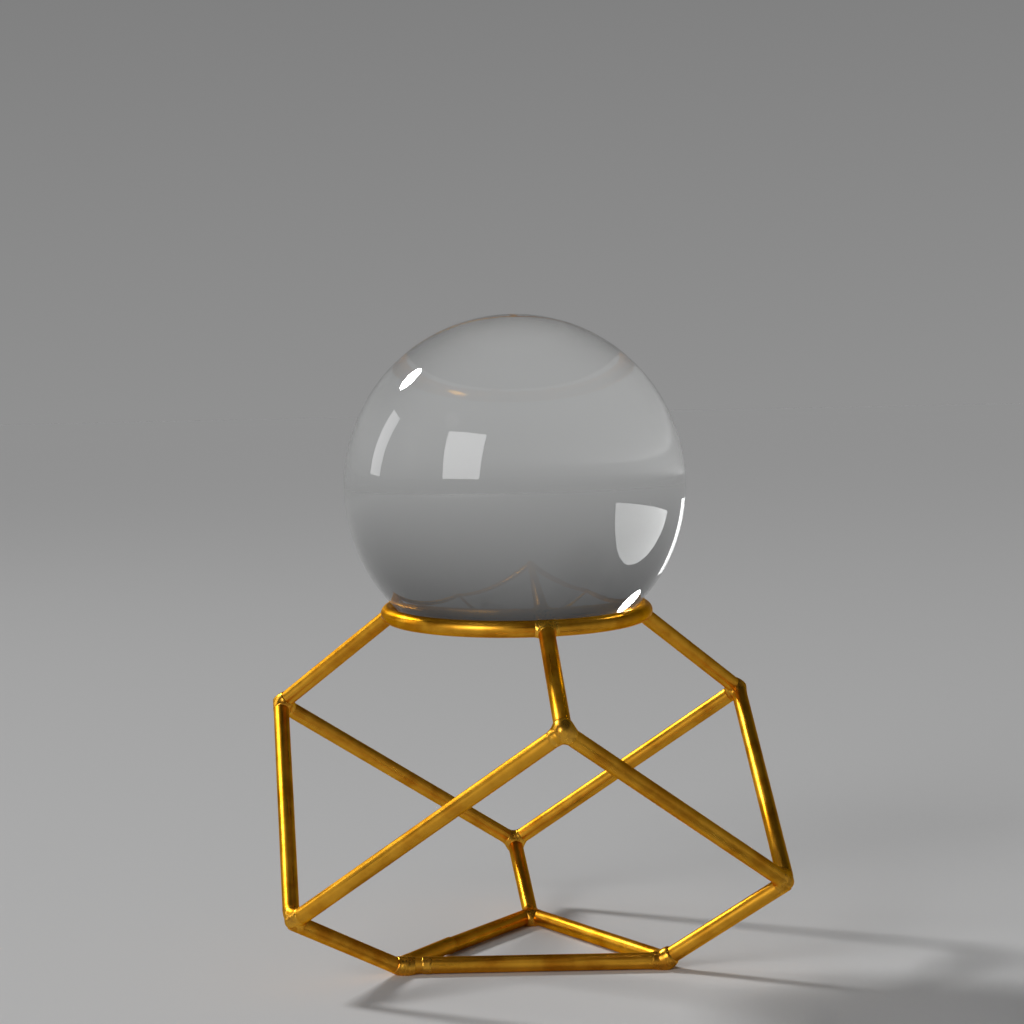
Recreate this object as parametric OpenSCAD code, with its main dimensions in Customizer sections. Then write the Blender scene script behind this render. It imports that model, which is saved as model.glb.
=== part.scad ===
/* [Ball] */
// Diameter of the solid glass ball
ball_d = 80; // [60:1:100]
// Depth of glass ground off the underside for the polished flat base
flat_depth = 8.9; // [1:0.1:9]
// Air gap between the ball and the ring it rests in
seat_gap = 0.2; // [0.1:0.05:0.5]

/* [Wire] */
// Diameter of the plated round wire of the stand
wire_d = 3.8; // [2.5:0.1:4.2]
// Length left off the end of a rod where it butts on another rod's centreline
butt_back = 0.9; // [0.8:0.05:1.2]
// How far a braze bead stands proud of the wire
bead_proud = 0.45; // [0.3:0.05:0.8]
// Extra radius where the wire is bent or domed
swell = 0.03; // [0.02:0.01:0.1]

/* [Seat ring] */
// Diameter of the seat ring along the middle of its wire
ring_d = 60; // [44:1:70]
// Height of the ring's centre above the table
ring_z = 81.6; // [70:0.2:95]
// How far the ring leans down towards the front corner, in degrees
ring_lean = 3.3; // [0:0.1:6]
// Sideways offset of the ring from the middle of the stand
ring_shift = -2; // [-3:0.1:3]
// Anticlockwise turn of the front strut's place on the ring, in degrees
strut_front_turn = 6; // [0:0.5:8]
// Clockwise turn of the right strut's place on the ring, in degrees
strut_right_turn = 8; // [0:0.5:10]

/* [Upper corners] */
// Radius on which the three upper corners sit
upper_r = 66; // [50:0.5:80]
// Height of the two rear upper corners
upper_z = 57.7; // [45:0.1:70]
// Extra height of the front upper corner
front_rise = 3.7; // [0:0.1:6]

/* [Lower corners] */
// Radius on which the three lower corners sit
lower_r = 64; // [50:0.5:80]
// Height of the left and back lower corners
lower_z = 16; // [10:0.1:30]
// Extra height of the right lower corner
right_rise = 5.7; // [0:0.1:8]
// Clockwise turn of the lower corners, in degrees
lower_turn = 2.9; // [0:0.1:8]
// Radius of the bend at the right and back lower corners
bend_r = 3.6; // [2.5:0.1:8]
// Radius of the wider bend at the left lower corner
wide_bend_r = 4.4; // [3:0.1:10]

/* [Base triangle] */
// Radius on which the three base corners sit
base_r = 36; // [26:0.5:48]
// Clockwise turn of the base triangle, in degrees
base_turn = 6.4; // [0:0.1:10]
// Gap under the base wire, filled by the ground feet of the corner beads
foot_lift = 0.15; // [0.1:0.05:0.4]
// Radius of the bends in the base wire
base_bend_r = 2.5; // [2.5:0.1:6]
// How far a leg's end lies outside the middle of the bend it is brazed to
leg_out = 1.3; // [0.2:0.1:1.5]
// Length of the left leg's turned foot along the front side
toe_len = 6; // [4:0.5:12]
// Where the closing joint sits, as a share of the left rear side
closer_share = 0.37; // [0.2:0.01:0.6]
// Sideways step at the closing joint
closer_step = 0.35; // [0:0.05:0.6]

/* [Hidden] */
$fn = 64;
wr = wire_d / 2;
br = ball_d / 2;
rr = ring_d / 2;
// Braze bead round a joint: its own radius, how deep it sinks into the rod, and how far along it sits
bead_r = 0.4 * wr;
bead_sink = 0.1;
weld_at = wr + bead_r / 2;
// Braze blob in a crotch or under a base corner: its radius, and how far the crotch one sits inwards
blob_r = wr + bead_proud;
crotch_in = 0.75 * wr;
foot_z = 0.857 * wr;
// Rod cleared out of a crotch blob: its length from the corner, and how far behind the corner it starts
crotch_reach = 4 * wr;
crotch_back = 0.5;
// Clearance between the braze and the rods it wraps
braze_gap = 0.02;
// Collar round the closing joint: length, and how far it stands proud
collar_len = 1.2;
collar_proud = 0.12;
// Start of the closing rod beyond the left base corner
closer_start = 1.25 * wr;
// How far in from the toe's end the left ground foot sits
foot_setback = 1;
// Height of the wire's middle in the base triangle
base_z = wr + foot_lift;
// Length by which a straight run is let into the bend beside it
let_in = 0.3;
// Offset that puts the middle of the bounding box over the origin
box_trim = 0.4;
centre_y = (upper_r - lower_r) / 2 + box_trim;
gold = [0.83, 0.62, 0.22];
solder = [0.90, 0.74, 0.36];
glass = [0.86, 0.89, 0.90, 0.45];
seat_h = sqrt((br + wr + seat_gap) * (br + wr + seat_gap) - rr * rr);

function polar(r, a, z) = [r * cos(a), r * sin(a), z];
function corner(r, a, z) = polar(r, a, z) + [0, centre_y, 0];
function unit(v) = v / norm(v);
function toward(p, q, d) = p + d * unit(q - p);
function lean(v) = [v[0],
  v[1] * cos(ring_lean) - v[2] * sin(ring_lean),
  v[1] * sin(ring_lean) + v[2] * cos(ring_lean)];

ring_mid = [ring_shift, centre_y, ring_z];

up_front = corner(upper_r, -90, upper_z + front_rise);
up_right = corner(upper_r, 30, upper_z);
up_left = corner(upper_r, 150, upper_z);

low_right = corner(lower_r, -30 - lower_turn, lower_z + right_rise);
low_back = corner(lower_r, 90 - lower_turn, lower_z);
low_left = corner(lower_r, 210 - lower_turn, lower_z);

base_right = corner(base_r, -30 - base_turn, base_z);
base_back = corner(base_r, 90 - base_turn, base_z);
base_left = corner(base_r, 210 - base_turn, base_z);

ring_front = ring_mid + lean(polar(rr, -90 + strut_front_turn, 0));
ring_right = ring_mid + lean(polar(rr, 30 - strut_right_turn, 0));
ring_left = ring_mid + lean(polar(rr, 150, 0));

// Stands the children's +Z axis along the line from p to q, at p
module along(p, q) {
  d = q - p;
  translate(p)
    rotate([0, acos(d[2] / norm(d)), atan2(d[1], d[0])])
      children();
}

// Straight round rod between two points
module rod(p, q, grow = 0) {
  along(p, q)
    cylinder(h = norm(q - p), r = wr + grow);
}

// Distance from a corner to where its bend starts
function bend_len(p, v, q, r) =
  r / tan(acos(unit(p - v) * unit(q - v)) / 2);

// Round bend of the wire at corner v, between the lines to p and to q
module bend(p, v, q, r, grow = 0) {
  u1 = unit(p - v);
  u2 = unit(q - v);
  half = acos(u1 * u2) / 2;
  mid = v + unit(u1 + u2) * r / sin(half);
  e1 = unit(v + u1 * r / tan(half) - mid);
  e2 = unit(v + u2 * r / tan(half) - mid);
  n = unit(cross(e1, e2));
  b = acos(n[2]);
  c = atan2(n[1], n[0]);
  ax = [cos(c) * cos(b), sin(c) * cos(b), -sin(b)];
  ay = [-sin(c), cos(c), 0];
  translate(mid)
    rotate([0, b, c])
      rotate([0, 0, atan2(e1 * ay, e1 * ax)])
        rotate_extrude(angle = 180 - 2 * half)
          translate([r, 0])
            circle(r = wr + swell + grow);
}

// Lowest point of a bend's centreline, where a leg meets it
function bend_tip(p, v, q, r) =
  let (u1 = unit(p - v), u2 = unit(q - v), half = acos(u1 * u2) / 2)
  v + unit(u1 + u2) * (r / sin(half) - r);

// Two straight runs that meet in a bend at v, each let a little into the bend
module bent_rod(p, v, q, r, grow = 0) {
  t = bend_len(p, v, q, r) - let_in;
  rod(p, toward(v, p, t), grow);
  bend(p, v, q, r, grow);
  rod(toward(v, q, t), q, grow);
}

// Domed end of a wire
module dome(p) {
  translate(p)
    sphere(r = wr + swell);
}

// Stand wire bent once at v; its end at p is domed and its end at q is cut square
module bent_wire(p, v, q, r) {
  dome(p);
  bent_rod(p, v, toward(q, v, butt_back), r);
}

module left_body() {
  bent_wire(up_left, low_left, up_front, wide_bend_r);
}

module right_body() {
  bent_wire(up_front, low_right, up_right, bend_r);
}

module back_body() {
  bent_wire(up_right, low_back, up_left, bend_r);
}

// Where a leg's centreline ends: on the outer side of the bend at corner v
function leg_end(p, v, q, r) =
  let (tip = bend_tip(p, v, q, r))
  toward(tip, v, leg_out);

tip_left = leg_end(up_left, low_left, up_front, wide_bend_r);
tip_right = leg_end(up_front, low_right, up_right, bend_r);
tip_back = leg_end(up_right, low_back, up_left, bend_r);

// Lean, offset frame of the seat ring
module ring_frame() {
  translate(ring_mid)
    rotate([ring_lean, 0, 0])
      children();
}

module ring_body(grow = 0) {
  ring_frame()
    rotate_extrude()
      translate([rr, 0])
        circle(r = wr + grow);
}

// Solid glass ball, ground flat underneath, the flat just above the underside of the ring
module ball() {
  color(glass)
    ring_frame()
      difference() {
        translate([0, 0, seat_h])
          sphere(r = br);
        translate([-br, -br, seat_h - br + flat_depth - br])
          cube([ball_d, ball_d, br]);
      }
}

// Closed wire ring that the ball rests in
module seat_ring() {
  color(gold)
    ring_body();
}

// Rod from an upper corner to the ring, coped to both
module strut(low, top) {
  rod(toward(low, top, butt_back), toward(top, low, butt_back));
}

module strut_front() {
  color(gold)
    difference() {
      strut(up_front, ring_front);
      ring_body();
      left_body();
      right_body();
    }
}

module strut_right() {
  color(gold)
    difference() {
      strut(up_right, ring_right);
      ring_body();
      right_body();
      back_body();
    }
}

module strut_left() {
  color(gold)
    difference() {
      strut(up_left, ring_left);
      ring_body();
      back_body();
      left_body();
    }
}

// Wire from the left upper corner, down round the left lower corner, to the front
module wire_left() {
  color(gold)
    difference() {
      left_body();
      right_body();
    }
}

// Wire from the front corner, down round the right lower corner, to the right
module wire_right() {
  color(gold)
    difference() {
      right_body();
      back_body();
    }
}

// Wire from the right upper corner, down round the back lower corner, to the left
module wire_back() {
  color(gold)
    difference() {
      back_body();
      left_body();
    }
}

// Left leg: straight down to the base, then a short toe along the front side
module leg_left_body(grow = 0) {
  bent_rod(toward(tip_left, base_left, butt_back), base_left, toe_end, base_bend_r, grow);
}

toe_end = toward(base_left, base_right,
  bend_len(tip_left, base_left, base_right, base_bend_r) + toe_len);
close_at = base_left + closer_share * (base_back - base_left);
base_tip_right = leg_end(toe_end, base_right, base_back, base_bend_r);
base_tip_back = leg_end(base_right, base_back, close_at, base_bend_r);
foot_at_left = toward(toe_end, base_left, toe_len - foot_setback);
side_dir = unit(base_back - base_left);
step_vec = closer_step * [side_dir[1], -side_dir[0], 0];

// Base wire: front side, right bend, rear side, back bend, up to the closing joint
module base_body(grow = 0) {
  t = bend_len(base_left, base_right, base_back, base_bend_r) - let_in;
  rod(toe_end, toward(base_right, toe_end, t), grow);
  bend(toe_end, base_right, base_back, base_bend_r, grow);
  rod(toward(base_right, base_back, t), toward(base_back, base_right, t), grow);
  bend(base_right, base_back, close_at, base_bend_r, grow);
  rod(toward(base_back, close_at, t), close_at, grow);
}

// Short rod that closes the triangle between the left corner and the closing joint
module closer_body(grow = 0) {
  rod(base_left + step_vec + closer_start * side_dir, close_at + step_vec, grow);
}

module leg_left() {
  color(gold)
    difference() {
      leg_left_body();
      left_body();
    }
}

module leg_right() {
  color(gold)
    difference() {
      rod(toward(tip_right, base_tip_right, butt_back), toward(base_tip_right, tip_right, butt_back));
      right_body();
      base_body();
    }
}

module leg_back() {
  color(gold)
    difference() {
      rod(toward(tip_back, base_tip_back, butt_back), toward(base_tip_back, tip_back, butt_back));
      back_body();
      base_body();
    }
}

module base_wire() {
  color(gold)
    base_body();
}

module base_closer() {
  color(gold)
    difference() {
      closer_body();
      leg_left_body();
    }
}

// Weld ring round the rod from p towards q, at a given distance from p
module weld_ring(p, q, at, r) {
  along(p, q)
    translate([0, 0, at])
      rotate_extrude()
        translate([wr + bead_sink, 0])
          circle(r = r);
}

// Braze where a strut butts on the ring's outer side
module ring_bead(top, low) {
  difference() {
    weld_ring(top, low, weld_at, bead_r);
    ring_body(braze_gap);
    rod(top, low, braze_gap);
  }
}

module bead_ring_front() {
  color(solder)
    ring_bead(ring_front, up_front);
}

module bead_ring_right() {
  color(solder)
    ring_bead(ring_right, up_right);
}

module bead_ring_left() {
  color(solder)
    ring_bead(ring_left, up_left);
}

// Room for the rod that runs from an upper corner v towards p
module crotch_rod(v, p) {
  rod(toward(v, p, -crotch_back), toward(v, p, crotch_reach), braze_gap);
}

// Braze in the crotch of the three rods that meet at an upper corner
module corner_bead(v, a, b, c) {
  difference() {
    translate(v + crotch_in * (unit(a - v) + unit(b - v) + unit(c - v)))
      sphere(r = blob_r);
    crotch_rod(v, a);
    crotch_rod(v, b);
    crotch_rod(v, c);
  }
}

module bead_up_front() {
  color(solder)
    corner_bead(up_front, ring_front, low_left, low_right);
}

module bead_up_right() {
  color(solder)
    corner_bead(up_right, ring_right, low_right, low_back);
}

module bead_up_left() {
  color(solder)
    corner_bead(up_left, ring_left, low_back, low_left);
}

// Braze between a lower bend and the top of its leg
module low_bead(p, v, q, r, foot) {
  tip = leg_end(p, v, q, r);
  difference() {
    weld_ring(tip, foot, weld_at, bead_r);
    bent_rod(p, v, q, r, braze_gap);
    rod(tip, foot, braze_gap);
  }
}

module bead_low_right() {
  color(solder)
    low_bead(up_front, low_right, up_right, bend_r, base_tip_right);
}

module bead_low_back() {
  color(solder)
    low_bead(up_right, low_back, up_left, bend_r, base_tip_back);
}

module bead_low_left() {
  color(solder)
    low_bead(up_left, low_left, up_front, wide_bend_r, base_left);
}

// Braze blob under a base corner, ground flat where it stands on the table
module foot_blob(p) {
  intersection() {
    translate([p[0], p[1], foot_z])
      sphere(r = blob_r);
    translate([p[0] - wire_d, p[1] - wire_d, 0])
      cube(2 * wire_d);
  }
}

module foot_right() {
  color(solder)
    difference() {
      foot_blob(base_tip_right);
      rod(tip_right, toward(base_tip_right, tip_right, butt_back), braze_gap);
      base_body(braze_gap);
    }
}

module foot_back() {
  color(solder)
    difference() {
      foot_blob(base_tip_back);
      base_body(braze_gap);
      rod(tip_back, toward(base_tip_back, tip_back, butt_back), braze_gap);
    }
}

module foot_left() {
  color(solder)
    difference() {
      foot_blob(foot_at_left);
      leg_left_body(braze_gap);
      closer_body(braze_gap);
    }
}

module bead_toe() {
  color(solder)
    difference() {
      weld_ring(toe_end, base_right, 0, bead_r / 2);
      rod(base_left, base_right, braze_gap);
      translate([toe_end[0] - wire_d, toe_end[1] - wire_d, foot_lift / 2 - wire_d])
        cube([2 * wire_d, 2 * wire_d, wire_d]);
    }
}

// Thin braze collar round the stepped closing joint
module collar(p, q) {
  along(p, q)
    translate([0, 0, -collar_len / 2])
      cylinder(h = collar_len, r = wr + collar_proud);
}

module bead_closer() {
  color(solder)
    difference() {
      collar(close_at + step_vec / 2, base_back + step_vec / 2);
      rod(close_at, base_back, braze_gap);
      closer_body(braze_gap);
    }
}

ball();
seat_ring();
strut_front();
strut_right();
strut_left();
wire_left();
wire_right();
wire_back();
leg_right();
leg_back();
leg_left();
base_wire();
base_closer();
bead_ring_front();
bead_ring_right();
bead_ring_left();
bead_up_front();
bead_up_right();
bead_up_left();
bead_low_right();
bead_low_back();
bead_low_left();
foot_right();
foot_back();
foot_left();
bead_toe();
bead_closer();
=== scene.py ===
"""Crystal ball on a gold-plated wire stand: looks, floor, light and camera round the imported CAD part."""

import math

import bmesh
import bpy
import numpy as np
from mathutils import Matrix, Vector


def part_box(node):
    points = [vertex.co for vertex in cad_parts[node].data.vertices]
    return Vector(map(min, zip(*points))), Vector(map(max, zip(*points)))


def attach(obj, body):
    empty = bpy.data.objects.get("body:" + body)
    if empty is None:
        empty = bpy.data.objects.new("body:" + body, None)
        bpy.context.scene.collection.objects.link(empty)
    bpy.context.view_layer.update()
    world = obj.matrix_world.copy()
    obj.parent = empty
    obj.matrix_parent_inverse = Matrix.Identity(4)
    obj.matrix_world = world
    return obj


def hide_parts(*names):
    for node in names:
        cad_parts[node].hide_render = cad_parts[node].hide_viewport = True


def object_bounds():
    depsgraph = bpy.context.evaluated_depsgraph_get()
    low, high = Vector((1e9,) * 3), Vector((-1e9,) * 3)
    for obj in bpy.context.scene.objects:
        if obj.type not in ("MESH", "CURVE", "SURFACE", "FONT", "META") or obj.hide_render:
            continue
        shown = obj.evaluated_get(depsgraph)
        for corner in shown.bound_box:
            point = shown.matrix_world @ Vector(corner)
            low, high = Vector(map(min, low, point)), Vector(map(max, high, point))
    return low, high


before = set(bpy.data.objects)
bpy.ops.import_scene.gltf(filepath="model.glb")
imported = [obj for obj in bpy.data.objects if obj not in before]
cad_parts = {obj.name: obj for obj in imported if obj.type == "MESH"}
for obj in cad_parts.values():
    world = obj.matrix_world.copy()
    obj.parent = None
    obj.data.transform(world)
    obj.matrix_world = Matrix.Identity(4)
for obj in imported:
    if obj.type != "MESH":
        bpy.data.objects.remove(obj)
cad_box = [list(corner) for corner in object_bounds()]
MM = 0.001  # metres in a millimetre
CAD_BOX = np.array(cad_box) / MM

# ---------------------------------------------------------------- sizes, in millimetres, as in the CAD model
BALL_R = 40.0
FLAT_DEPTH = 8.9  # glass ground off the ball's underside
SEAT_GAP = 0.2  # air between the ball and the ring
WIRE_R = 1.9
BUTT_BACK = 0.9  # left off a wire's end where it butts on another's centreline
LEG_OUT = 1.3  # how far a leg's end lies outside the middle of the bend it is brazed to
UPPER_R = 66.0
UPPER_Z = 57.7
FRONT_RISE = 3.7  # extra height of the front upper corner
LOWER_R = 64.0
LOWER_Z = 16.0
RIGHT_RISE = 5.7  # extra height of the right lower corner
LOWER_TURN = 2.9  # clockwise turn of the lower corners, in degrees
BASE_R = 36.0
FOOT_LIFT = 0.15  # gap under the base wire, filled by the ground feet
BASE_Z = WIRE_R + FOOT_LIFT
BASE_TURN = 6.4  # clockwise turn of the base triangle, in degrees
TOE = 6.0  # length of the left leg's turned foot
FOOT_SETBACK = 1.0  # from the end of the toe's bend to the left ground foot
RING_R = 30.0
RING_LEAN = 3.3  # how far the ring leans down to the front, in degrees
FRONT_STRUT_TURN = 6  # anticlockwise turn of the front strut's place on the ring, in degrees
RIGHT_STRUT_TURN = 8  # clockwise turn of the right strut's place on the ring, in degrees
BEND_R = 3.6
WIDE_BEND_R = 4.4  # the bend at the left lower corner
BASE_BEND_R = 2.5
BOX_TRIM = 0.4
CENTRE_Y = (UPPER_R - LOWER_R) / 2 + BOX_TRIM  # puts the middle of the bounding box over the origin
CLOSER_SHARE = 0.37  # where the closing joint sits along the left rear side
CLOSER_STEP = 0.35  # sideways step at the closing joint

# ---------------------------------------------------------------- sizes that only the visible model has
CLOSER_START = 2.2  # from the left base corner to the closing rod
CLOSER_RISE = 0.35  # upward step at the closing joint
LINE_STEP = 0.8  # spacing of points along a straight run
ARC_STEP = 0.3  # spacing of points round a bend
ARC_LEAST = 8  # fewest steps round a bend
RING_STEP = 2.0  # spacing of points round the seat ring, in degrees


def unit(v):
    return v / np.linalg.norm(v)


def corner(radius, azimuth, z):
    """A corner of the stand, at an azimuth in degrees round its upright axis."""
    a = math.radians(azimuth)
    return np.array([radius * math.cos(a), radius * math.sin(a) + CENTRE_Y, z])


def toward(p, q, distance):
    """The point at a distance from p on the way to q."""
    return p + distance * unit(q - p)


# ---------------------------------------------------------------- corners of the stand
UP_FRONT = corner(UPPER_R, -90, UPPER_Z + FRONT_RISE)
UP_RIGHT = corner(UPPER_R, 30, UPPER_Z)
UP_LEFT = corner(UPPER_R, 150, UPPER_Z)
LOW_RIGHT = corner(LOWER_R, -30 - LOWER_TURN, LOWER_Z + RIGHT_RISE)
LOW_BACK = corner(LOWER_R, 90 - LOWER_TURN, LOWER_Z)
LOW_LEFT = corner(LOWER_R, 210 - LOWER_TURN, LOWER_Z)
BASE_RIGHT = corner(BASE_R, -30 - BASE_TURN, BASE_Z)
BASE_BACK = corner(BASE_R, 90 - BASE_TURN, BASE_Z)
BASE_LEFT = corner(BASE_R, 210 - BASE_TURN, BASE_Z)

# ---------------------------------------------------------------- the leaning seat ring, and the ball on it
RING_LOW, RING_HIGH = (np.array(c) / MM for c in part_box("seat_ring"))
RING_MID = (RING_LOW + RING_HIGH) / 2
LEAN = math.radians(RING_LEAN)
RING_EX = np.array([1.0, 0, 0])
RING_EY = np.array([0, math.cos(LEAN), math.sin(LEAN)])
RING_UP = np.array([0, -math.sin(LEAN), math.cos(LEAN)])
SEAT_H = math.sqrt((BALL_R + WIRE_R + SEAT_GAP) ** 2 - RING_R**2)
BALL_MID = RING_MID + SEAT_H * RING_UP


def round_ring(angle):
    """The direction at an angle in radians round the ring's own axis."""
    return math.cos(angle) * RING_EX + math.sin(angle) * RING_EY


def on_ring(azimuth):
    """A point of the ring's centreline, at an azimuth in degrees."""
    return RING_MID + RING_R * round_ring(math.radians(azimuth))


STRUT_AZIMUTH = {"front": -90 + FRONT_STRUT_TURN, "right": 30 - RIGHT_STRUT_TURN, "left": 150}
STRUT_END = {side: on_ring(azimuth) for side, azimuth in STRUT_AZIMUTH.items()}


# ---------------------------------------------------------------- centrelines
def half_angle(p, v, q):
    """Half the angle at v between the runs to p and to q."""
    return math.acos(float(unit(p - v) @ unit(q - v))) / 2


def bend_tip(p, v, q, radius):
    """The middle of the bend at v, which is its point nearest to the corner."""
    h = half_angle(p, v, q)
    return v + unit(unit(p - v) + unit(q - v)) * (radius / math.sin(h) - radius)


def line(p, q):
    """Points of a straight run, without the last one."""
    n = max(2, int(np.linalg.norm(q - p) / LINE_STEP))
    return [p + (q - p) * i / n for i in range(n)]


def arc(p, v, q, radius):
    """Points of the round bend at v, from the run towards p to the run towards q."""
    h = half_angle(p, v, q)
    mid = v + unit(unit(p - v) + unit(q - v)) * radius / math.sin(h)
    reach = radius / math.tan(h)
    e1 = unit(toward(v, p, reach) - mid)
    e2 = unit(toward(v, q, reach) - mid)
    turn = math.acos(float(np.clip(e1 @ e2, -1, 1)))
    n = max(ARC_LEAST, int(radius * turn / ARC_STEP))
    return [
        mid + radius * (math.sin(turn * (1 - k / n)) * e1 + math.sin(turn * k / n) * e2) / math.sin(turn)
        for k in range(n + 1)
    ]


def bent(points, radii=()):
    """Centreline through corner points, rounded at each inner one."""
    path = []
    start = points[0]
    for p, v, q, radius in zip(points, points[1:], points[2:], radii):
        curve = arc(p, v, q, radius)
        path += line(start, curve[0]) + curve[:-1]
        start = curve[-1]
    return np.array(path + line(start, points[-1]) + [points[-1]])


def leg_end(p, v, q, radius):
    """Where a leg's centreline ends, on the outer side of the bend at v."""
    return toward(bend_tip(p, v, q, radius), v, LEG_OUT)


TIP_LEFT = leg_end(UP_LEFT, LOW_LEFT, UP_FRONT, WIDE_BEND_R)
TIP_RIGHT = leg_end(UP_FRONT, LOW_RIGHT, UP_RIGHT, BEND_R)
TIP_BACK = leg_end(UP_RIGHT, LOW_BACK, UP_LEFT, BEND_R)
TOE_BEND = BASE_BEND_R / math.tan(half_angle(TIP_LEFT, BASE_LEFT, BASE_RIGHT))
TOE_END = toward(BASE_LEFT, BASE_RIGHT, TOE_BEND + TOE)
LEFT_FOOT = toward(BASE_LEFT, BASE_RIGHT, TOE_BEND + FOOT_SETBACK)
CLOSE_AT = BASE_LEFT + CLOSER_SHARE * (BASE_BACK - BASE_LEFT)
TIP_BASE_RIGHT = leg_end(TOE_END, BASE_RIGHT, BASE_BACK, BASE_BEND_R)
TIP_BASE_BACK = leg_end(BASE_RIGHT, BASE_BACK, CLOSE_AT, BASE_BEND_R)
BACK_BEND = bend_tip(BASE_RIGHT, BASE_BACK, CLOSE_AT, BASE_BEND_R)

REAR_SIDE = unit(BASE_BACK - BASE_LEFT)
STEP_OUT = CLOSER_STEP * np.array([REAR_SIDE[1], -REAR_SIDE[0], 0])
STEP_UP = np.array([0, 0, CLOSER_RISE])
CLOSER_FROM = BASE_LEFT + STEP_OUT + CLOSER_START * REAR_SIDE
CLOSER_TO = CLOSE_AT + STEP_OUT + STEP_UP

# the order matters, because a wire's place here also picks its random unevenness
PATHS = {
    "strut_front": bent([UP_FRONT, STRUT_END["front"]]),
    "strut_right": bent([UP_RIGHT, STRUT_END["right"]]),
    "strut_left": bent([UP_LEFT, STRUT_END["left"]]),
    "wire_left": bent([UP_LEFT, LOW_LEFT, toward(UP_FRONT, LOW_LEFT, BUTT_BACK)], [WIDE_BEND_R]),
    "wire_right": bent([UP_FRONT, LOW_RIGHT, toward(UP_RIGHT, LOW_RIGHT, BUTT_BACK)], [BEND_R]),
    "wire_back": bent([UP_RIGHT, LOW_BACK, toward(UP_LEFT, LOW_BACK, BUTT_BACK)], [BEND_R]),
    "leg_right": bent([TIP_RIGHT, TIP_BASE_RIGHT]),
    "leg_back": bent([TIP_BACK, TIP_BASE_BACK]),
    "leg_left": bent([TIP_LEFT, BASE_LEFT, TOE_END], [BASE_BEND_R]),
    "base_wire": bent([TOE_END, BASE_RIGHT, BASE_BACK, CLOSE_AT], [BASE_BEND_R, BASE_BEND_R]),
    "base_closer": bent([CLOSER_FROM, CLOSER_TO]),
}
JOINTS = np.array([
    UP_FRONT, UP_RIGHT, UP_LEFT, TIP_LEFT, TIP_RIGHT, TIP_BACK, *STRUT_END.values(),
    TIP_BASE_RIGHT, TIP_BASE_BACK, BASE_LEFT, TOE_END, CLOSE_AT,
])

# ---------------------------------------------------------------- materials
WIRE_GOLD = (0.76, 0.365, 0.030)
BRAZE_GOLD = (0.80, 0.41, 0.045)
THIN_PLATING = (0.74, 0.60, 0.45)  # factors for the gold's red, green and blue where its plating is thin
THICK_PLATING = (1.14, 1.18, 1.3)  # and where it is thick
FLUX_BROWN = (0.30, 0.13, 0.05, 1)
EDGE_GOLD = (0.92, 0.64, 0.30, 1)  # the metal's shade where it is seen edge on
SMOOTHEST = 0.72  # factor for a gold's roughness where its drawn lines are smoothest
ROUGHEST = 1.45  # and where they are roughest
STAIN_ROUGHNESS = 0.25  # roughness that a full stain adds
GLASS = (0.975, 0.985, 0.98, 1)
GLASS_IOR = 1.5
# a colour Mix node's sockets by number, because its number and vector sockets have the same names
MIX_SHARE, MIX_FROM, MIX_TO, MIX_RESULT = 0, 6, 7, 2


def new_material(name):
    """A material with one Principled shader, as the material, its node tree and the shader."""
    mat = bpy.data.materials.new(name)
    mat.use_nodes = True
    nt = mat.node_tree
    nt.nodes.clear()
    out = nt.nodes.new("ShaderNodeOutputMaterial")
    shader = nt.nodes.new("ShaderNodeBsdfPrincipled")
    nt.links.new(shader.outputs["BSDF"], out.inputs["Surface"])
    return mat, nt, shader


def add(nt, kind, **values):
    """A node, with its inputs set by name and its own settings by attribute."""
    node = nt.nodes.new(kind)
    for key, value in values.items():
        if key in node.inputs:
            node.inputs[key].default_value = value
        else:
            setattr(node, key, value)
    return node


def noise(nt, vector, **values):
    node = add(nt, "ShaderNodeTexNoise", **values)
    nt.links.new(vector, node.inputs["Vector"])
    return node.outputs["Fac"]


def stretched(nt, vector, **values):
    node = add(nt, "ShaderNodeMapping", **values)
    nt.links.new(vector, node.inputs["Vector"])
    return node.outputs["Vector"]


def ramp(nt, source, stops):
    """The colours of the stops, by where the source's value falls between them."""
    node = nt.nodes.new("ShaderNodeValToRGB")
    while len(node.color_ramp.elements) < len(stops):
        node.color_ramp.elements.new(0.5)
    for element, (at, colour) in zip(node.color_ramp.elements, stops):
        element.position = at
        element.color = (*colour, 1)
    nt.links.new(source, node.inputs["Fac"])
    return node.outputs["Color"]


def grey(v):
    return (v, v, v)


def scaled(colour, factors):
    return tuple(min(1.0, c * f) for c, f in zip(colour, factors))


def flux_stain(nt, specks):
    """How much brown flux stain there is: spots, and only round the brazed joints."""
    near = add(nt, "ShaderNodeAttribute", attribute_name="near")
    spots = ramp(nt, specks, [(0.50, grey(0.0)), (0.70, grey(0.55))])
    stain = add(nt, "ShaderNodeMath", operation="MULTIPLY")
    nt.links.new(near.outputs["Fac"], stain.inputs[0])
    nt.links.new(spots, stain.inputs[1])
    return stain.outputs[0]


def plating(nt, wire, tint, stain):
    """Gold in slow patches of thinner and thicker plating, with the stain over it."""
    patches = noise(nt, wire, Scale=0.16, Detail=4.0, Roughness=0.55)
    stops = [(0.30, scaled(tint, THIN_PLATING)), (0.52, tint), (0.74, scaled(tint, THICK_PLATING))]
    stained = add(nt, "ShaderNodeMix", data_type="RGBA")
    nt.links.new(stain, stained.inputs[MIX_SHARE])
    nt.links.new(ramp(nt, patches, stops), stained.inputs[MIX_FROM])
    stained.inputs[MIX_TO].default_value = FLUX_BROWN
    return stained.outputs[MIX_RESULT]


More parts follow.
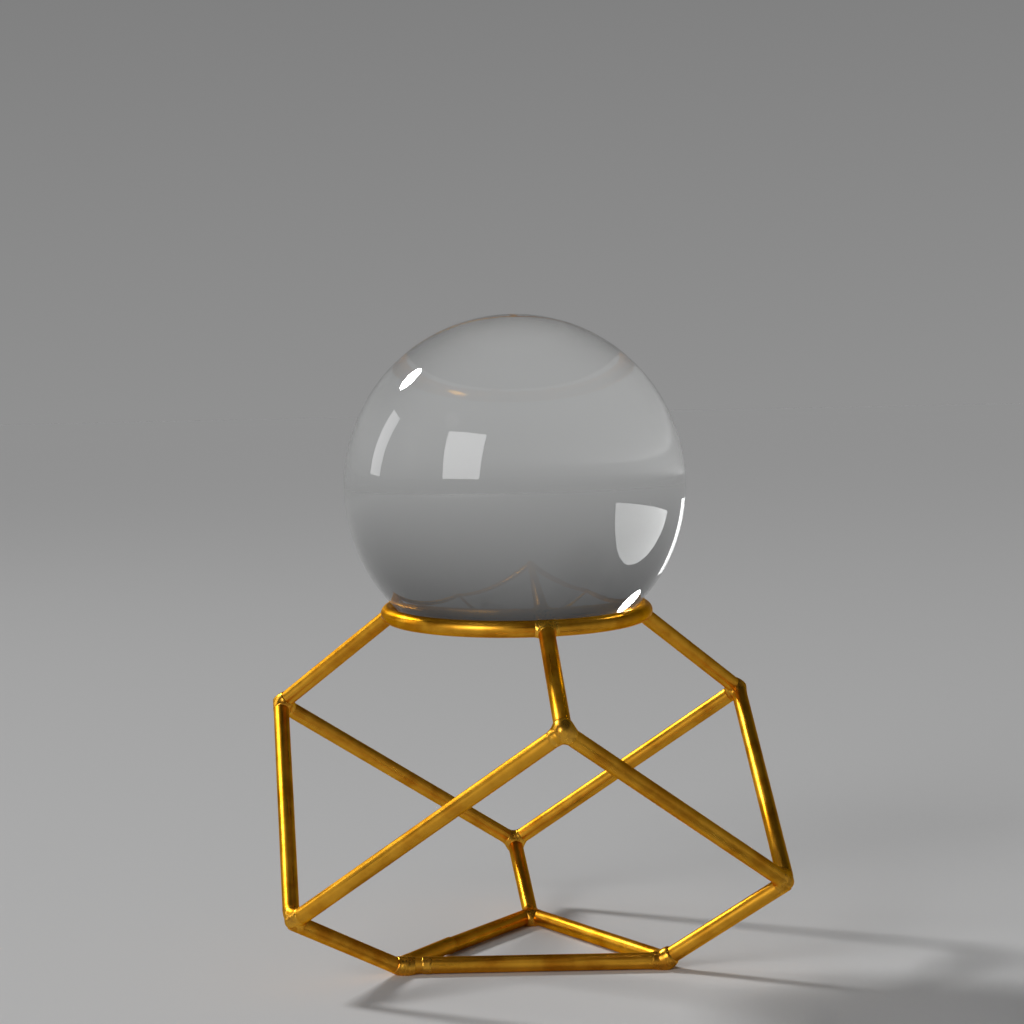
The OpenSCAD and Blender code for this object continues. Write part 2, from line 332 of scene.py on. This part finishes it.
def wear(nt, lines, rough, stain):
    """Roughness that follows the drawn lines and is higher in the stain."""
    worn = ramp(nt, lines, [(0.30, grey(rough * SMOOTHEST)), (0.70, grey(rough * ROUGHEST))])
    total = add(nt, "ShaderNodeMath", operation="MULTIPLY_ADD")
    nt.links.new(stain, total.inputs[0])
    total.inputs[1].default_value = STAIN_ROUGHNESS
    nt.links.new(worn, total.inputs[2])
    return total.outputs[0]


def relief(nt, lines, specks, lumps):
    """Fine grooves along the drawn lines, and shallow lumps from the specks."""
    grooves = add(nt, "ShaderNodeBump", Strength=0.05, Distance=0.00005)
    nt.links.new(lines, grooves.inputs["Height"])
    both = add(nt, "ShaderNodeBump", Strength=0.04 + lumps, Distance=0.0002)
    nt.links.new(specks, both.inputs["Height"])
    nt.links.new(grooves.outputs["Normal"], both.inputs["Normal"])
    return both.outputs["Normal"]


def gold(name, rough, tint, lumps):
    """Plated metal. Its noise runs on wire_co, which goes round and along a wire and is plain on braze."""
    mat, nt, shader = new_material(name)
    wire = add(nt, "ShaderNodeAttribute", attribute_name="wire_co").outputs["Vector"]
    # noise that runs long down the wire and short round it
    lines = noise(nt, stretched(nt, wire, Scale=(1.0, 1.0, 0.035)), Scale=1.5, Detail=4.0, Roughness=0.55)
    specks = noise(nt, wire, Scale=0.8, Detail=3.0, Roughness=0.6)
    stain = flux_stain(nt, specks)
    shader.inputs["Metallic"].default_value = 1.0
    shader.inputs["Specular Tint"].default_value = EDGE_GOLD
    nt.links.new(plating(nt, wire, tint, stain), shader.inputs["Base Color"])
    nt.links.new(wear(nt, lines, rough, stain), shader.inputs["Roughness"])
    nt.links.new(relief(nt, lines, specks, lumps), shader.inputs["Normal"])
    return mat


def crystal():
    """Clear glass with hairline scratches, which are rougher and not darker."""
    mat, nt, shader = new_material("clear_crystal")
    shader.inputs["Base Color"].default_value = GLASS
    shader.inputs["Transmission Weight"].default_value = 1.0
    shader.inputs["IOR"].default_value = GLASS_IOR
    place = add(nt, "ShaderNodeTexCoord").outputs["Object"]
    # a scratch is where a stretched and turned noise comes near its peak
    turned = stretched(nt, place, Scale=(1, 0.05, 0.4), Rotation=(0.4, 0.9, 0.2))
    hair = noise(nt, turned, Scale=420.0, Detail=2.0, Roughness=0.5, Distortion=0.4)
    stops = [(0.0, grey(0)), (0.715, grey(0)), (0.74, grey(0.16)), (1.0, grey(0.2))]
    nt.links.new(ramp(nt, hair, stops), shader.inputs["Roughness"])
    return mat


GOLD = gold("gold_plated_wire", rough=0.33, tint=WIRE_GOLD, lumps=0.0)
BRAZE = gold("gold_plated_braze", rough=0.27, tint=BRAZE_GOLD, lumps=0.02)
CRYSTAL = crystal()

# ---------------------------------------------------------------- meshes, with points in millimetres
STAIN_REACH = 3.6  # distance from a joint over which its stain fades to about a third
PHASE_TOP = 6.3  # drawn phases run from zero to just over a full turn


def new_object(name, data):
    obj = bpy.data.objects.new(name, data)
    bpy.context.scene.collection.objects.link(obj)
    return obj


def near_joint(points):
    """How near each point is to a brazed joint, from 1 at the joint to 0 far away."""
    gap = np.linalg.norm(points[:, None, :] - JOINTS[None], axis=2).min(axis=1)
    return np.exp(-((gap / STAIN_REACH) ** 2))


def build(name, verts, faces, material, wire_co, body, nodes):
    """One visible piece, which rides on a body and stands in for CAD nodes.

    Its points carry what the gold is drawn by: wire_co, and how near they are to a brazed joint.
    """
    mesh = bpy.data.meshes.new(name)
    mesh.from_pydata([tuple(v * MM) for v in verts], [], faces)
    mesh.polygons.foreach_set("use_smooth", [True] * len(mesh.polygons))
    co = mesh.attributes.new("wire_co", "FLOAT_VECTOR", "POINT")
    co.data.foreach_set("vector", np.asarray(wire_co, np.float32).ravel())
    near = mesh.attributes.new("near", "FLOAT", "POINT")
    near.data.foreach_set("value", near_joint(np.asarray(verts)).astype(np.float32))
    mesh.materials.append(material)
    mesh.validate()
    obj = new_object(name, mesh)
    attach(obj, body)
    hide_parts(*nodes)


def skin(rows, sides, first=0, closed=False):
    """Four-sided faces between neighbouring rows of points, where each row goes once round.

    The number of the first row's first point is given by first.
    """
    faces = []
    for i in range(rows if closed else rows - 1):
        near = first + i * sides
        far = first + (i + 1) % rows * sides
        for k in range(sides):
            m = (k + 1) % sides
            faces.append((near + k, near + m, far + m, far + k))
    return faces


# ---------------------------------------------------------------- wires
WIRE_SIDES = 40
SEAT_RING_SEED = 3
FIRST_WIRE_SEED = 11
WANDER = 0.012  # unevenness of a wire's radius
WANDER_RATE = 0.055  # radians of its slowest wave per millimetre
WANDER_WAVES = (1, 2, 3, 5)  # the waves' rates, in terms of the slowest one's
ACROSS = [0.31, 0.17, 0.93]  # any direction that no wire starts along
WIRE_SHIFT = 31.7  # shift between wires in the noise, so that no two look alike
DOME_ANGLES = np.linspace(0.12, 1.5, 10)  # from just past the path's end to just short of the dome's tip
# how far past the path's end each ring of a wire's end is, and its radius; a flat end's edge is just broken
END_OUTLINES = {
    "flat": [(-0.12, WIRE_R), (-0.03, WIRE_R - 0.04), (0.0, WIRE_R - 0.13), (0.0, WIRE_R * 0.5)],
    "dome": [(WIRE_R * math.sin(a), WIRE_R * math.cos(a)) for a in DOME_ANGLES],
}


def frames(path, closed):
    """The direction along the wire at each point, and two across it, carried along without twist."""
    if closed:
        tangent = np.roll(path, -1, 0) - np.roll(path, 1, 0)
    else:
        tangent = np.gradient(path, axis=0)
    tangent /= np.linalg.norm(tangent, axis=1)[:, None]
    normals = [unit(np.cross(tangent[0], ACROSS))]
    for t in tangent[1:]:
        normals.append(unit(normals[-1] - (normals[-1] @ t) * t))
    normals = np.array(normals)
    return tangent, normals, np.cross(tangent, normals)


def wander(along, seed):
    """Slow hand-made unevenness along a wire: a few waves of drawn phases and heights."""
    rng = np.random.default_rng(seed)
    return WANDER * sum(
        math.sqrt(1 / k) * np.sin(along * k * WANDER_RATE + rng.uniform(0, PHASE_TOP)) * rng.uniform(0.4, 1)
        for k in WANDER_WAVES
    )


def end_rings(ring, tangent, sign, kind):
    """The rings of a wire's end, going outwards. The sign is -1 at the wire's start and 1 at its finish."""
    place, _, along, side, up = ring
    return [
        (place + sign * out * tangent, radius, along + sign * out, side, up)
        for out, radius in END_OUTLINES[kind]
    ]


def tube(path, seed, ends=None):
    """A round wire: its points, faces and wire coordinates. Without ends it is a closed ring."""
    steps = np.linalg.norm(np.diff(path, axis=0), axis=1)
    along = np.concatenate([[0], np.cumsum(steps)])
    tangent, side, up = frames(path, closed=ends is None)
    radii = [WIRE_R + wander(s, seed) for s in along]
    rings = list(zip(path, radii, along, side, up))
    if ends:
        start = end_rings(rings[0], tangent[0], -1, ends[0])
        finish = end_rings(rings[-1], tangent[-1], 1, ends[1])
        # a flat end's first ring takes the place of the path's own
        first = 1 if ends[0] == "flat" else 0
        last = len(rings) - 1 if ends[1] == "flat" else len(rings)
        rings = start[::-1] + rings[first:last] + finish
    verts = []
    coords = []
    for place, radius, s, across, above in rings:
        for angle in np.arange(WIRE_SIDES) * 2 * math.pi / WIRE_SIDES:
            verts.append(place + radius * (math.cos(angle) * across + math.sin(angle) * above))
            coords.append((radius * math.cos(angle) + seed * WIRE_SHIFT, radius * math.sin(angle), s))
    faces = skin(len(rings), WIRE_SIDES, closed=ends is None)
    if ends:
        faces.append(tuple(range(WIRE_SIDES - 1, -1, -1)))
        faces.append(tuple(range(len(verts) - WIRE_SIDES, len(verts))))
    return verts, faces, coords


def wire_piece(node, path, seed, ends=None):
    verts, faces, coords = tube(path, seed, ends)
    build(node + "_plated", verts, faces, GOLD, coords, "stand", [node])


SEAT_RING = np.array([on_ring(a) for a in np.arange(0, 360, RING_STEP)])
ENDS = {
    "wire_left": ("dome", "flat"),
    "wire_right": ("dome", "flat"),
    "wire_back": ("dome", "flat"),
    "leg_right": ("flat", "dome"),
    "leg_back": ("flat", "dome"),
}
wire_piece("seat_ring", SEAT_RING, SEAT_RING_SEED)
for seed, (node, path) in enumerate(PATHS.items(), FIRST_WIRE_SEED):
    wire_piece(node, path, seed, ENDS.get(node, ("flat", "flat")))

# ---------------------------------------------------------------- braze
FIRST_STAND_BEAD_SEED = 1
FIRST_RING_BEAD_SEED = 21
FILLET = 0.5  # about the radius of the fillet between two rods
BEAD_LEVEL = 5  # how often the round mesh of a bead is divided
BEAD_FAR = 7.0  # the walk in to a bead's skin starts this far from its middle
BEAD_STEPS = 56
BEAD_CORE = 0.2  # radius where the walk meets no skin
TINY = 1e-9  # keeps a division away from zero
ROD_REACH = 8.0  # how much of each rod a bead looks at
DIP = 1.4  # how steeply a bead's skin sinks into the rod past its reach
LUMP = 0.012  # height of a bead's lumps
LUMP_WAVES = 7
LUMP_RATE = 0.9  # spread of the waves' rates along each axis, in radians per millimetre
BEAD_SHIFT = 17.0  # shift between beads in the noise, so that no two look alike
FOOT_Z = 1.63  # height of the middle of the blob that a foot is ground from
FOOT_PROUD = 0.3  # how far that blob stands proud of the wire
BACK_BLOB_IN = 1.0  # how far the back foot's extra blob lies inside the back bend
BACK_BLOB_DROP = 0.25  # and how far below it
BACK_BLOB_R = 1.7
COLLAR_POINT = 12  # the point of a rod, counted from its end, that gives a collar's direction
RING_STUB = 18  # how far the ring is followed each way from a strut, in degrees


def round_mesh():
    """Directions spread evenly all round, and the faces between them."""
    bm = bmesh.new()
    bmesh.ops.create_icosphere(bm, subdivisions=BEAD_LEVEL, radius=1.0)
    directions = np.array([v.co for v in bm.verts])
    faces = [tuple(v.index for v in f.verts) for f in bm.faces]
    bm.free()
    return directions, faces


BEAD_DIRECTIONS, BEAD_FACES = round_mesh()


def smooth_min(values):
    """Smooth minimum of stacked distances, which makes the fillets."""
    return -FILLET * np.log(np.sum(np.exp(-values / FILLET), axis=0))


def to_polyline(points, path, along_path, start):
    """Distance from each point to the path, and how far that place is from the joint along the path."""
    a = path[:-1]
    d = path[1:] - a
    length = np.linalg.norm(d, axis=1)
    w = points[:, None, :] - a[None]
    t = np.clip((w * d[None]).sum(2) / (length**2)[None], 0, 1)
    gap = np.linalg.norm(w - t[..., None] * d[None], axis=2)
    best = gap.argmin(axis=1)
    rows = np.arange(len(points))
    return gap[rows, best], np.abs(along_path[best] + t[rows, best] * length[best] - start)


def gentle_lumps(points, seed):
    """The mean of a few waves of drawn direction and phase."""
    rng = np.random.default_rng(seed)
    total = np.zeros(len(points))
    for _ in range(LUMP_WAVES):
        k = rng.normal(size=3) * LUMP_RATE
        total += np.sin(points @ k + rng.uniform(0, PHASE_TOP))
    return total / LUMP_WAVES


def near_part(path, centre):
    """The stretch of a centreline near a joint, its arc lengths, and the arc length at the joint."""
    along = np.concatenate([[0], np.cumsum(np.linalg.norm(np.diff(path, axis=0), axis=1))])
    gap = np.linalg.norm(path - centre, axis=1)
    keep = gap < ROD_REACH
    return path[keep], along[keep], along[gap.argmin()]


def skin_radii(field, centre):
    """How far from the middle the skin lies in each direction, found by walking in from outside."""
    radii = np.full(len(BEAD_DIRECTIONS), BEAD_CORE)
    found = np.zeros(len(BEAD_DIRECTIONS), bool)
    previous = field(centre + BEAD_DIRECTIONS * BEAD_FAR)
    for i in range(1, BEAD_STEPS):
        at = BEAD_FAR * (1 - i / BEAD_STEPS)
        value = field(centre + BEAD_DIRECTIONS * at)
        hit = (~found) & (value <= 0)
        mix = previous[hit] / np.maximum(previous[hit] - value[hit], TINY)
        radii[hit] = at + (1 - mix) * BEAD_FAR / BEAD_STEPS
        found |= hit
        previous = value
    return radii


def bead_piece(node, centre, rods, seed, blobs=(), thick=0.05, reach=2.4):
    """A braze joint: a skin round the rods that meet at centre, full in the crotches.

    It stands proud by about thick at the joint and thins out along each rod, until past its reach it dips
    under the rod's own surface. What lies below the floor or outside the CAD model's box is cut flat.
    """
    parts = [near_part(path, centre) for path in rods]

    def field(points):
        """About the distance outside the braze, and below zero inside it."""
        stack = []
        for path, along_path, start in parts:
            gap, along = to_polyline(points, path, along_path, start)
            radius = WIRE_R + thick * (1 - (along / reach) ** 2)
            # the smooth minimum swells where the rods meet, and this takes the swelling off
            radius -= FILLET * math.log(len(parts)) * np.exp(-(along**2))
            radius -= DIP * np.maximum(along - reach, 0)
            stack.append(gap - radius)
        for at, radius in blobs:
            stack.append(np.linalg.norm(points - at, axis=1) - radius)
        return smooth_min(np.stack(stack)) + LUMP * gentle_lumps(points, seed)

    verts = centre + BEAD_DIRECTIONS * skin_radii(field, centre)[:, None]
    verts[:, 2] = np.maximum(verts[:, 2], 0.0)
    verts = np.clip(verts, CAD_BOX[0], CAD_BOX[1])
    coords = verts + seed * BEAD_SHIFT
    build(node + "_plated", list(verts), BEAD_FACES, BRAZE, coords, "stand", [node])


def collar(centre, rod, distance, proud):
    """A blob on a rod, at a distance from the rod's end that lies at the joint."""
    path = PATHS[rod]
    if np.linalg.norm(path[0] - centre) < np.linalg.norm(path[-1] - centre):
        place = toward(path[0], path[COLLAR_POINT], distance)
    else:
        place = toward(path[-1], path[-1 - COLLAR_POINT], distance)
    return place, WIRE_R + proud


def foot_blob(centre):
    """The blob under a base corner, which the floor cuts flat."""
    return np.array([centre[0], centre[1], FOOT_Z]), WIRE_R + FOOT_PROUD


def stand_bead(node, centre, rods, seed, blobs=(), collars=(), foot=False, **shape):
    blobs = [*blobs, *(collar(centre, *each) for each in collars)]
    if foot:
        blobs.append(foot_blob(centre))
    bead_piece(node, centre, [PATHS[rod] for rod in rods], seed, blobs, **shape)


BACK_BLOB = toward(BACK_BEND, BASE_BACK, -BACK_BLOB_IN) - np.array([0, 0, BACK_BLOB_DROP])
# each bead's node, middle and rods, and what else shapes it: a blob is (middle, radius), a collar is
# (rod, distance from the rod's end at the joint, how far it stands proud)
STAND_BEADS = [
    ("bead_up_front", UP_FRONT, ["strut_front", "wire_left", "wire_right"],
     {"collars": [("strut_front", 0.9, 0.12)]}),
    ("bead_up_right", UP_RIGHT, ["strut_right", "wire_right", "wire_back"],
     {"blobs": [(toward(UP_RIGHT, UP_LEFT, 0.2), WIRE_R + 0.15)], "collars": [("wire_back", 1.7, 0.16)]}),
    ("bead_up_left", UP_LEFT, ["strut_left", "wire_back", "wire_left"],
     {"blobs": [(toward(UP_LEFT, UP_RIGHT, 0.25), WIRE_R + 0.2)]}),
    ("bead_low_left", TIP_LEFT, ["wire_left", "leg_left"], {}),
    ("bead_low_right", TIP_RIGHT, ["wire_right", "leg_right"], {}),
    ("bead_low_back", TIP_BACK, ["wire_back", "leg_back"], {"collars": [("leg_back", 1.2, 0.20)]}),
    ("foot_right", TIP_BASE_RIGHT, ["base_wire", "leg_right"],
     {"foot": True, "collars": [("leg_right", 1.5, 0.14)]}),
    ("foot_back", TIP_BASE_BACK, ["base_wire", "leg_back"],
     {"foot": True, "blobs": [(BACK_BLOB, BACK_BLOB_R)]}),
    ("foot_left", LEFT_FOOT, ["leg_left", "base_closer"], {"foot": True}),
    ("bead_toe", TOE_END, ["base_wire", "leg_left"], {"thick": 0.10, "reach": 1.0}),
    ("bead_closer", CLOSE_AT, ["base_wire"], {"thick": 0.06, "reach": 0.5}),
]
for seed, (node, centre, rods, extras) in enumerate(STAND_BEADS, FIRST_STAND_BEAD_SEED):
    stand_bead(node, centre, rods, seed, **extras)
for seed, (side, azimuth) in enumerate(STRUT_AZIMUTH.items(), FIRST_RING_BEAD_SEED):
    ring_part = np.array([on_ring(azimuth + turn) for turn in range(-RING_STUB, RING_STUB + 1)])
    rods = [ring_part, PATHS["strut_" + side]]
    bead_piece("bead_ring_" + side, STRUT_END[side], rods, seed, reach=2.6)

# ---------------------------------------------------------------- the ball
BALL_SIDES = 224
BALL_ROWS = 150  # from the rounded edge to the pole
EDGE = 0.35  # size of the rounded edge between the flat and the sphere
EDGE_ROWS = 7
FLAT_ROWS = (0.3, 0.6, 0.85, 0.95)  # shares of the flat's radius
FLAT_Z = FLAT_DEPTH - BALL_R  # height of the flat over the ball's middle, so below zero


def ball_outline():
    """Radius and height of each row: flat underside, small rounded edge, then the sphere up to its pole."""
    low = math.asin(FLAT_Z / BALL_R)
    rim = BALL_R * math.cos(low)
    outline = [(rim * share, FLAT_Z) for share in FLAT_ROWS]
    after = low + EDGE / BALL_R
    a = np.array([rim - EDGE, FLAT_Z])
    b = np.array([rim, FLAT_Z])
    c = np.array([BALL_R * math.cos(after), BALL_R * math.sin(after)])
    for t in np.linspace(0, 1, EDGE_ROWS):
        outline.append(tuple((1 - t) ** 2 * a + 2 * t * (1 - t) * b + t * t * c))
    for angle in np.linspace(after, math.pi / 2, BALL_ROWS)[1:-1]:
        outline.append((BALL_R * math.cos(angle), BALL_R * math.sin(angle)))
    return outline


def ball_piece():
    """The outline turned about the ring's axis, closed by one point below and one at the pole."""
    outline = ball_outline()
    verts = [BALL_MID + FLAT_Z * RING_UP]
    for radius, z in outline:
        for k in range(BALL_SIDES):
            verts.append(BALL_MID + radius * round_ring(2 * math.pi * k / BALL_SIDES) + z * RING_UP)
    verts.append(BALL_MID + BALL_R * RING_UP)
    pole = len(verts) - 1
    top = pole - BALL_SIDES
    faces = [(0, 1 + (k + 1) % BALL_SIDES, 1 + k) for k in range(BALL_SIDES)]
    faces += skin(len(outline), BALL_SIDES, first=1)
    faces += [(top + k, top + (k + 1) % BALL_SIDES, pole) for k in range(BALL_SIDES)]
    build("crystal_ball", verts, faces, CRYSTAL, np.array(verts), "ball", ["ball"])


ball_piece()

# ---------------------------------------------------------------- floor and light, in metres
# the surround is pale grey at the horizon and dims overhead; every ray sees the same surround and floor
HORIZON = 0.28
OVERHEAD = 0.045
FADE_TOP = 0.6  # sine of the height at which it stops dimming
FLOOR_ALBEDO = 0.72
FLOOR_HALF = 40.0  # from the floor's middle to its sides
SUN_FROM = Vector((-0.55, 0.55, 0.63)).normalized()  # behind, on the left and high
SUN_SPREAD = 10  # how wide the sun looks, in degrees
# the sun makes up what the surround leaves dark, so far floor and horizon meet in the same shade
SURROUND_SHARE = OVERHEAD + (HORIZON - OVERHEAD) * FADE_TOP ** 2 / 3
SUN_STRENGTH = math.pi * (HORIZON / FLOOR_ALBEDO - SURROUND_SHARE) / SUN_FROM.z
LIGHTS_AIM = Vector((0, 0, 0.08))  # about the middle of the object


def pale_floor():
    mesh = bpy.data.meshes.new("floor")
    corners = [(x * FLOOR_HALF, y * FLOOR_HALF, 0) for x, y in ((-1, -1), (1, -1), (1, 1), (-1, 1))]
    mesh.from_pydata(corners, [], [(0, 1, 2, 3)])
    obj = new_object("floor", mesh)
    mat, _, shader = new_material("pale_floor")
    shader.inputs["Base Color"].default_value = (*grey(FLOOR_ALBEDO), 1)
    shader.inputs["Roughness"].default_value = 0.9
    shader.inputs["Specular IOR Level"].default_value = 0.0
    mesh.materials.append(mat)


def surround():
    world = bpy.data.worlds.new("studio")
    bpy.context.scene.world = world
    world.use_nodes = True
    nt = world.node_tree
    direction = add(nt, "ShaderNodeTexCoord")
    parts = add(nt, "ShaderNodeSeparateXYZ")
    nt.links.new(direction.outputs["Generated"], parts.inputs[0])
    shade = add(nt, "ShaderNodeMapRange")
    nt.links.new(parts.outputs["Z"], shade.inputs["Value"])
    shade.inputs["From Max"].default_value = FADE_TOP
    shade.inputs["To Min"].default_value = HORIZON
    shade.inputs["To Max"].default_value = OVERHEAD
    nt.links.new(shade.outputs["Result"], nt.nodes["Background"].inputs["Color"])


def shine_along(light, direction):
    light.rotation_euler = direction.to_track_quat("-Z", "Y").to_euler()


def soft_sun():
    data = bpy.data.lights.new("soft_sun", "SUN")
    data.energy = SUN_STRENGTH
    data.angle = math.radians(SUN_SPREAD)
    shine_along(new_object("soft_sun", data), -SUN_FROM)


def soft_box(name, at, size, radiance):
    """A plain rectangular studio light, which lights everything and is mirrored by everything.

    Only the camera itself doesn't see it.
    """
    data = bpy.data.lights.new(name, "AREA")
    data.shape = "RECTANGLE"
    data.size, data.size_y = size
    data.energy = radiance * math.pi * size[0] * size[1]
    light = new_object(name, data)
    light.location = at
    shine_along(light, LIGHTS_AIM - Vector(at))
    light.visible_camera = False


pale_floor()
surround()
soft_sun()
soft_box("key", at=(-1.35, -1.5, 0.87), size=(0.98, 1.12), radiance=5.2)
soft_box("side", at=(-1.7, 0.7, 0.7), size=(0.38, 0.9), radiance=3.0)

# ---------------------------------------------------------------- camera, low and a little left of the front
CAM_DISTANCE = 0.5852  # from what it is aimed at, in metres
CAM_AZIMUTH = -6.28  # to the left of straight in front, in degrees
CAM_ELEVATION = 2.43  # above the level of its aim, in degrees
CAM_ROLL = -1.19  # in degrees
CAM_SIDE = -0.00262  # how far its aim lies to the side of the stand's axis, in metres
CAM_HEIGHT = 0.1048  # height of its aim, in metres
CAM_LENS = 87.7  # focal length, in millimetres
CAM_SENSOR = 36.0  # width of its sensor, in millimetres
CAM_NEAR = 0.01  # nearest distance that it shows, in metres


def camera():
    data = bpy.data.cameras.new("camera")
    data.lens = CAM_LENS
    data.sensor_width = CAM_SENSOR
    data.clip_start = CAM_NEAR
    azimuth, elevation, roll = (math.radians(x) for x in (CAM_AZIMUTH, CAM_ELEVATION, CAM_ROLL))
    flat = math.cos(elevation)
    back = Vector((math.sin(azimuth) * flat, -math.cos(azimuth) * flat, math.sin(elevation)))
    level = Vector((math.cos(azimuth), math.sin(azimuth), 0))
    right = level * math.cos(roll) + back.cross(level) * math.sin(roll)
    aim = level * CAM_SIDE + Vector((0, CENTRE_Y * MM, CAM_HEIGHT))
    turn = Matrix((right, back.cross(right), back)).transposed().to_4x4()
    obj = new_object("camera", data)
    obj.matrix_world = Matrix.Translation(aim + back * CAM_DISTANCE) @ turn
    bpy.context.scene.camera = obj


camera()
bpy.context.scene.view_settings.view_transform = "Standard"
